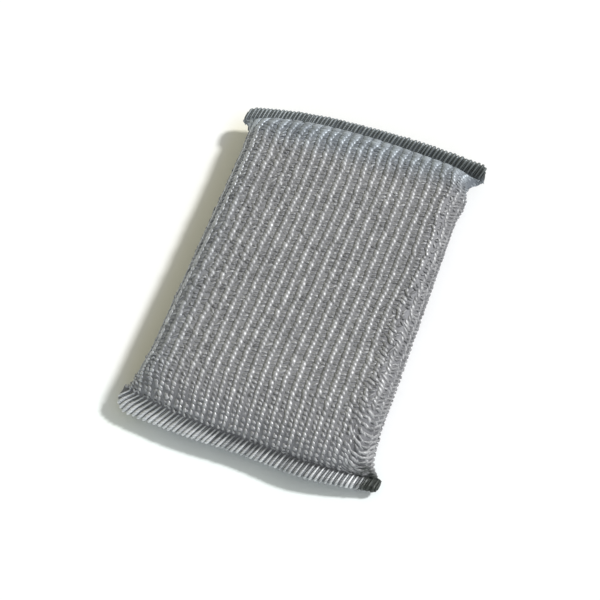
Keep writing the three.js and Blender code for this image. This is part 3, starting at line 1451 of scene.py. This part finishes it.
@dataclass
class KnittedCover:
    """The tube of metallic knit: a dense ground, raised beads along the wales and sunk legs between."""

    surface: PadSurface
    effects: SharedEffects
    wales: int = 48
    course: float = 1.575 * MM
    first_course: float = 0.35
    end_gap: float = 0.3 * MM
    slant: float = 1.4 * MM
    slant_lead: float = 3 * MM
    slant_reach: float = 33 * MM
    set_left: float = 0.1 * MM
    waver: Varied = Varied(0.2 * MM, slack=0.5 * MM)
    waver_lengths: Span = (9 * MM, 17 * MM)
    end_shift: float = 0.9 * MM
    seed: int = 11
    beads: WaleBeads = WaleBeads()
    legs: SunkLegs = SunkLegs()
    ground: KnitGround = KnitGround()

    def build(self) -> list[bpy.types.Object]:
        """Builds the whole cover.

        Returns:
            Its pieces, the ground first.
        """
        rng = np.random.default_rng(self.seed)
        plan = ZonePlan(self.surface.girth, self.surface.run)
        wale, along = self._courses()
        stitches = self._stitches(plan, wale, along)
        kinds = [
            (name, loops.strands(self.surface, stitches, rng), loops.finish.material(self.effects))
            for name, loops in (("wales", self.beads), ("legs", self.legs))
        ]
        on_top = np.abs(np.mod(wale.ravel() / self.wales + 0.5, 1.0) - 0.5) < 0.25
        made = [self._ground(plan)]
        for face, chosen in ((Face.TOP, on_top), (Face.UNDER, ~on_top)):
            for kind, strands, yarn in kinds:
                made.append(self._piece(f"knit_{kind}_{face.value}", strands.pick(chosen), yarn))
        return made

    def _courses(self) -> tuple[Array, Array]:
        """Counts out the stitches, one row for each wale, with the courses climbing as a spiral.

        Returns:
            The wale of each stitch and its distance from the front seam line.
        """
        rows = int(self.surface.run / self.course)
        wale, row = np.meshgrid(np.arange(self.wales), np.arange(rows), indexing="ij")
        along = (row + self.first_course + wale / self.wales) * self.course
        return wale.reshape(-1, 1), np.minimum(along, self.surface.run - self.end_gap).reshape(-1, 1)

    def _stitches(self, plan: ZonePlan, wale: Array, along: Array) -> Stitches:
        """Lays out the stitches on wales that slant, as the knit twists in its sewing, and waver.

        Args:
            plan: Where the zones of the knit are.
            wale: The wale of each stitch.
            along: Its distance from the front seam line.

        Returns:
            The stitches.
        """
        pitch = self.surface.girth / self.wales
        around = wale * pitch
        zones = plan.at(around, along)
        from_middle = along - self.surface.run / 2 + self.slant_lead
        slant = self.slant * np.tanh(from_middle / self.slant_reach) - self.set_left
        waver = self.waver.over(zones) * waves(around, along, *self.waver_lengths)
        drift = slant + waver + self.end_shift * zones.flat
        return Stitches(plan, zones, pitch, around + drift, along)

    def _piece(self, name: str, strands: Strands, yarn: bpy.types.Material) -> bpy.types.Object:
        """Makes a piece of some of the loops.

        Args:
            name: The piece's name.
            strands: Its loops.
            yarn: Their material.

        Returns:
            The dressed piece.
        """
        made = strands.sweep(self.surface.lie).to_object(name)
        made.data.materials.append(yarn)
        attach(made, "root")
        return made

    def _ground(self, plan: ZonePlan) -> bpy.types.Object:
        """Makes the ground.

        Args:
            plan: Where the zones of the knit are.

        Returns:
            The dressed ground, which stands for the cover's solid.
        """
        made = self.ground.mesh(self.surface, plan).to_object("knit_ground")
        made.data.materials.append(self.ground.finish.material(self.effects))
        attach(made, "root")
        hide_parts("knitted_cover")
        return made


@dataclass(frozen=True)
class SeamThread:
    """One of the two threads of a seam: where its first stitch sits, and how it lies."""

    start: float
    sink: float
    share: float
    tone: float


@dataclass
class OverlockSeam:
    """One overlocked end: stitches of flat metallic thread wrap the hem, with finer ones between them."""

    surface: PadSurface
    effects: SharedEffects
    end: End
    finish: YarnFinish
    slant: Stations
    pitch: float = 1.65 * MM
    thread_half_width: float = 0.56 * MM
    thread_half_height: float = 0.42 * MM
    thread_stand: float = 0.7
    least_height: float = 0.4
    root_share: float = 0.5
    root_end: float = 0.9
    root_sink: float = 0.45 * MM
    root_reach: float = 1.2 * MM
    root_gap: float = 0.15 * MM
    filler_share: float = 0.6
    filler_sink: float = 0.32 * MM
    # The finer threads between stitches are real, but are made near black so the gaps read dark: partly
    # painted shade.
    filler_tone: float = 0.1
    edge_stand: float = 0.6 * MM
    tip_inset: float = 0.4 * MM
    shortest_share: float = 0.45
    tone: float = 0.65
    tone_fall: float = 0.0
    tone_spread: float = 0.16
    foot_spread: float = 0.06 * MM
    length_spread: float = 0.08 * MM
    width_spread: float = 0.06
    rings: int = 26
    depth_steps: int = 60
    seed: int = 23

    @classmethod
    def front(cls, surface: PadSurface, effects: SharedEffects) -> "OverlockSeam":
        """Gives the front seam its bright thread and its strong slant at the left.

        Args:
            surface: The face of the pad.
            effects: The shared node groups.

        Returns:
            The seam, ready to build.
        """
        thread = YarnFinish(
            "front_overlock_thread",
            (0.88, 0.89, 0.9),
            (0.18, 0.19, 0.2),
            metallic=0.45,
            smooth=0.46,
            rough=0.62,
        )
        slant = (4.6 * MM, 3.6 * MM, 2.6 * MM, 1.8 * MM, 1.0 * MM)
        return cls(surface, effects, End.FRONT, thread, slant, tone=0.76, tone_fall=0.34)

    @classmethod
    def back(cls, surface: PadSurface, effects: SharedEffects) -> "OverlockSeam":
        """Gives the back seam its fine thread: the front seam's thread in darker colours, darkened further
        over most of its length, as painted shade.

        Args:
            surface: The face of the pad.
            effects: The shared node groups.

        Returns:
            The seam, ready to build.
        """
        # The same thread as the front seam's, in darker colours: painted shade.
        thread = YarnFinish(
            "back_overlock_thread_painted_shade",
            (0.39, 0.385, 0.37),
            (0.15, 0.15, 0.143),
            metallic=0.5,
            smooth=0.5,
            rough=0.66,
            # Darkened from near the middle to the right-hand tip: painted shade.
            dark_from=8 * MM,
            dark_to=74 * MM,
        )
        slant = (0.9 * MM, 1.2 * MM, 1.5 * MM, 1.8 * MM, 1.8 * MM)
        return cls(surface, effects, End.BACK, thread, slant, pitch=1.4 * MM, thread_half_width=0.49 * MM)

    def build(self) -> bpy.types.Object:
        """Builds the seam.

        Returns:
            The dressed seam, which stands for the seam's solid.
        """
        rng = np.random.default_rng(self.seed + self.end.value)
        main_thread = SeamThread(0.0, 0.0, 1.0, self.tone)
        filler = SeamThread(self.pitch / 2, self.filler_sink, self.filler_share, self.filler_tone)
        stitches = self._wraps(main_thread, rng)
        fillers = self._wraps(filler, rng)
        name = f"{self.end.name.lower()}_seam"
        made = stitches.joined(fillers).sweep(self.surface.lie).to_object(f"{name}_thread")
        made.data.materials.append(self.finish.material(self.effects))
        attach(made, "root")
        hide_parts(name)
        return made

    def _wraps(self, thread: SeamThread, rng: np.random.Generator) -> Strands:
        """Routes stitches out over the hem, round its edge and back under it.

        Args:
            thread: The thread that they are sewn with.
            rng: Source of the small unevenness.

        Returns:
            One strand for each stitch.
        """
        sizes, way = self.surface.sizes, self.end.value
        tip = sizes.mouth_width / 2 - self.tip_inset
        level = sizes.hem_half + self.thread_stand * self.thread_half_height - thread.sink
        full_depth = sizes.hem_depth + self.edge_stand - thread.sink
        foot = self._feet(tip, thread.start, rng)
        across = 0.5 - way * foot / sizes.mouth_width
        slant = through(self.slant, across)
        depth = self._depth(foot, slant, full_depth, tip)
        long_enough = depth.ravel() > self.shortest_share * full_depth
        foot, across, slant, depth = (part[long_enough] for part in (foot, across, slant, depth))
        count = len(foot)
        straight = depth - level + rng.normal(0.0, self.length_spread, (count, 1))
        whole = 2 * straight + math.pi * level
        passed = np.linspace(0.0, 1.0, self.rings)[None, :] * whole
        turn = np.clip((passed - straight) / level, 0.0, math.pi)
        flat = np.where(turn < math.pi, np.minimum(passed, straight), whole - passed)
        reach = flat + level * np.sin(turn)
        outward = reach / full_depth
        x = np.clip(foot + slant * (1.0 - outward), -tip, tip)
        y = way * (sizes.length / 2 + self.root_gap + reach)
        sunk = self.root_sink * (1.0 - ease(reach, 0.0, self.root_reach))
        height = (level - sunk) * np.cos(turn)
        swell = blend(self.root_share, 1.0, ease(outward, 0.0, self.root_end)) * thread.share
        swell = swell * rng.normal(1.0, self.width_spread, (count, 1))
        tone = rng.normal(thread.tone, self.tone_spread, count) - self.tone_fall * across.ravel()
        return Strands(
            np.stack([-way * x, y, height], axis=-1),
            np.stack([0 * x, way * np.sin(turn), np.cos(turn)], axis=-1),
            self.thread_half_width * swell,
            self.thread_half_height * blend(self.least_height, 1.0, swell),
            np.clip(tone, 0.0, 1.0),
        )

    def _feet(self, tip: float, start: float, rng: np.random.Generator) -> Array:
        """Spaces the stitches along the cut edge, from one tip to past the other.

        Args:
            tip: Where the seam ends.
            start: Where the first stitch sits, from the tip.
            rng: Source of the small unevenness.

        Returns:
            Where each stitch would meet the cut edge.
        """
        past_tip = self.slant[0] if self.end is End.FRONT else self.slant[-1]
        count = int((2 * tip + past_tip - start) / self.pitch) + 1
        even = tip - start - np.arange(count) * self.pitch
        return (even + rng.normal(0.0, self.foot_spread, count))[:, None]

    def _depth(self, foot: Array, slant: Array, full_depth: float, tip: float) -> Array:
        """Finds how far out each stitch runs before it meets the hem's rounded outline.

        Args:
            foot: Where each stitch would meet the cut edge.
            slant: How far each stitch leans along the seam.
            full_depth: How far out a stitch runs where the outline is straight.
            tip: Where the seam ends.

        Returns:
            The depth of each stitch.
        """
        reach = np.linspace(0.0, full_depth, self.depth_steps)[None, :]
        x = foot + slant * (1.0 - reach / full_depth)
        way = self.end.value
        outline = full_depth * self.surface.lie.hem_reach(-way * x, way + 0 * x)
        inside = (reach <= outline) & (x >= -tip)
        return np.max(np.where(inside, reach, 0.0), axis=1, keepdims=True)


@dataclass
class FoamCore:
    """The slab of open-cell foam inside the cover."""

    surface: PadSurface
    finish: FoamFinish = FoamFinish()
    columns: int = 96
    rows: int = 40
    end_gap: float = 5.5 * MM
    tone: float = 0.5

    def build(self) -> bpy.types.Object:
        """Builds the slab.

        Returns:
            The dressed slab, which stands for the foam's solid.
        """
        sizes = self.surface.sizes
        inset = sizes.knit_wall + sizes.core_clearance
        along = np.linspace(self.end_gap, self.surface.run - self.end_gap, self.rows)
        around = np.arange(self.columns) / self.columns * self.surface.girth
        points, _ = self.surface.points(around[None, :], along[:, None], np.array(-inset))
        tone = np.full(self.rows * self.columns, self.tone)
        made = closed_tube(self.surface.lie.settle(points), tone).to_object("foam_slab")
        made.data.materials.append(self.finish.material())
        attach(made, "root")
        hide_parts("foam_core")
        return made


@dataclass
class Studio:
    """White table with painted shadow colours, soft daylight and the camera."""

    lens: float = 90.0
    sensor: float = 36.0
    nearest: float = 10 * MM
    target: tuple[float, float, float] = (-2.22 * MM, -2.81 * MM, 0.0)
    azimuth: float = math.radians(18.28)
    elevation: float = math.radians(58.83)
    distance: float = 506 * MM
    sun_from: tuple[float, float, float] = (0.589, 0.416, 0.693)
    sun_strength: float = 2.9
    sun_colour: Colour = (0.99, 0.995, 1.0)
    sun_angle: float = math.radians(8)
    sky_strength: float = 0.46
    sky_colour: Colour = (0.99, 1.0, 1.01)
    sky_left: Colour = (0.76, 0.74, 0.5)
    sky_left_span: Span = (0.3, -0.9)
    sky_front: Colour = (1.7, 1.8, 1.92)
    sky_front_span: Span = (-0.2, -0.9)
    floor_half: float = 3.0
    floor_rough: float = 0.9
    floor_colour: Colour = (0.96, 0.96, 0.96)
    # A darker, warm band lying under the left shadow: painted shadow colour.
    painted_left_shadow: Colour = (0.88, 0.85, 0.715)
    painted_left_shadow_start: Span = (-25 * MM, -44 * MM)
    painted_left_shadow_end: Span = (-54 * MM, -45 * MM)
    floor_left_back: Span = (72 * MM, 56 * MM)
    # A cool tint in front, seen only in the front shadow: painted shadow colour.
    floor_front: Colour = (0.93, 0.98, 0.97)
    floor_front_span: Span = (-40 * MM, -75 * MM)

    def build(self) -> None:
        """Sets up the table, the light and the camera."""
        bpy.context.scene.view_settings.view_transform = "Standard"
        self._floor()
        self._light()
        self._camera()

    def _floor(self) -> None:
        """Lays the white table under the pad, with painted shadow colours: a darker, warm band under the
        shadow beside the pad's left-hand side, and a cool tint in front that shows only in the front
        shadow.
        """
        half = self.floor_half
        corners = [(-half, -half, 0), (half, -half, 0), (half, half, 0), (-half, half, 0)]
        mesh = bpy.data.meshes.new("table")
        mesh.from_pydata(corners, [], [(0, 1, 2, 3)])
        table = put_in_scene("table", mesh)
        made, sheet, shader = new_material("white_table")
        shader.inputs["Roughness"].default_value = self.floor_rough
        shader.inputs["Specular IOR Level"].default_value = 0.0
        spot = sheet.place()
        # Painted shadow colours: the warm band under the left shadow and the cool tint for the front
        # shadow.
        left = sheet.rise(spot["X"], *self.painted_left_shadow_start)
        left = sheet.math("MULTIPLY", left, sheet.rise(spot["X"], *self.painted_left_shadow_end))
        left = sheet.math("MULTIPLY", left, sheet.rise(spot["Y"], *self.floor_left_back))
        front = sheet.rise(spot["Y"], *self.floor_front_span)
        tinted = sheet.mix(left, self.floor_colour, self.painted_left_shadow)
        sheet.link(sheet.mix(front, tinted, self.floor_front), shader.inputs["Base Color"])
        mesh.materials.append(made)

    def _light(self) -> None:
        """Hangs one broad sun at the back right, and a sky that is warm at the left and bright in front."""
        lamp = bpy.data.lights.new("daylight", "SUN")
        lamp.energy = self.sun_strength
        lamp.color = self.sun_colour
        lamp.angle = self.sun_angle
        sun = put_in_scene("daylight", lamp)
        sun.rotation_euler = Vector(self.sun_from).to_track_quat("Z", "Y").to_euler()
        world = bpy.data.worlds.new("sky")
        world.use_nodes = True
        sky = world.node_tree.nodes["Background"]
        sky.inputs["Strength"].default_value = self.sky_strength
        sheet = NodeSheet(world.node_tree)
        spot = sheet.place("Generated")
        left = sheet.rise(spot["X"], *self.sky_left_span)
        front = sheet.rise(spot["Y"], *self.sky_front_span)
        side = sheet.mix(left, self.sky_colour, self.sky_left)
        sheet.link(sheet.mix(front, side, self.sky_front), sky.inputs["Color"])
        bpy.context.scene.world = world

    def _camera(self) -> None:
        """Stands the camera before the front right corner, above the pad."""
        lens = bpy.data.cameras.new("camera")
        lens.lens = self.lens
        lens.sensor_width = self.sensor
        lens.clip_start = self.nearest
        camera = put_in_scene("camera", lens)
        level = math.cos(self.elevation)
        right, ahead = math.sin(self.azimuth) * level, math.cos(self.azimuth) * level
        away = Vector((right, -ahead, math.sin(self.elevation)))
        camera.location = Vector(self.target) + self.distance * away
        camera.rotation_euler = away.to_track_quat("Z", "Y").to_euler()
        bpy.context.scene.camera = camera


def report(piece: bpy.types.Object) -> None:
    """Logs a piece with its size."""
    piece.data.calc_loop_triangles()
    LOG.info("%s: %d triangles", piece.name, len(piece.data.loop_triangles))


def main() -> None:
    """Builds the pad, its seams and its setting."""
    logging.basicConfig(level=logging.INFO, format="%(name)s: %(message)s")
    Studio().build()
    effects = SharedEffects()
    sizes = PadSizes.from_frame()
    surface = PadSurface(sizes, PadLie(sizes))
    pieces = KnittedCover(surface, effects).build()
    pieces.append(FoamCore(surface).build())
    pieces.append(OverlockSeam.front(surface, effects).build())
    pieces.append(OverlockSeam.back(surface, effects).build())
    for piece in pieces:
        report(piece)


if __name__ == "__main__":
    main()
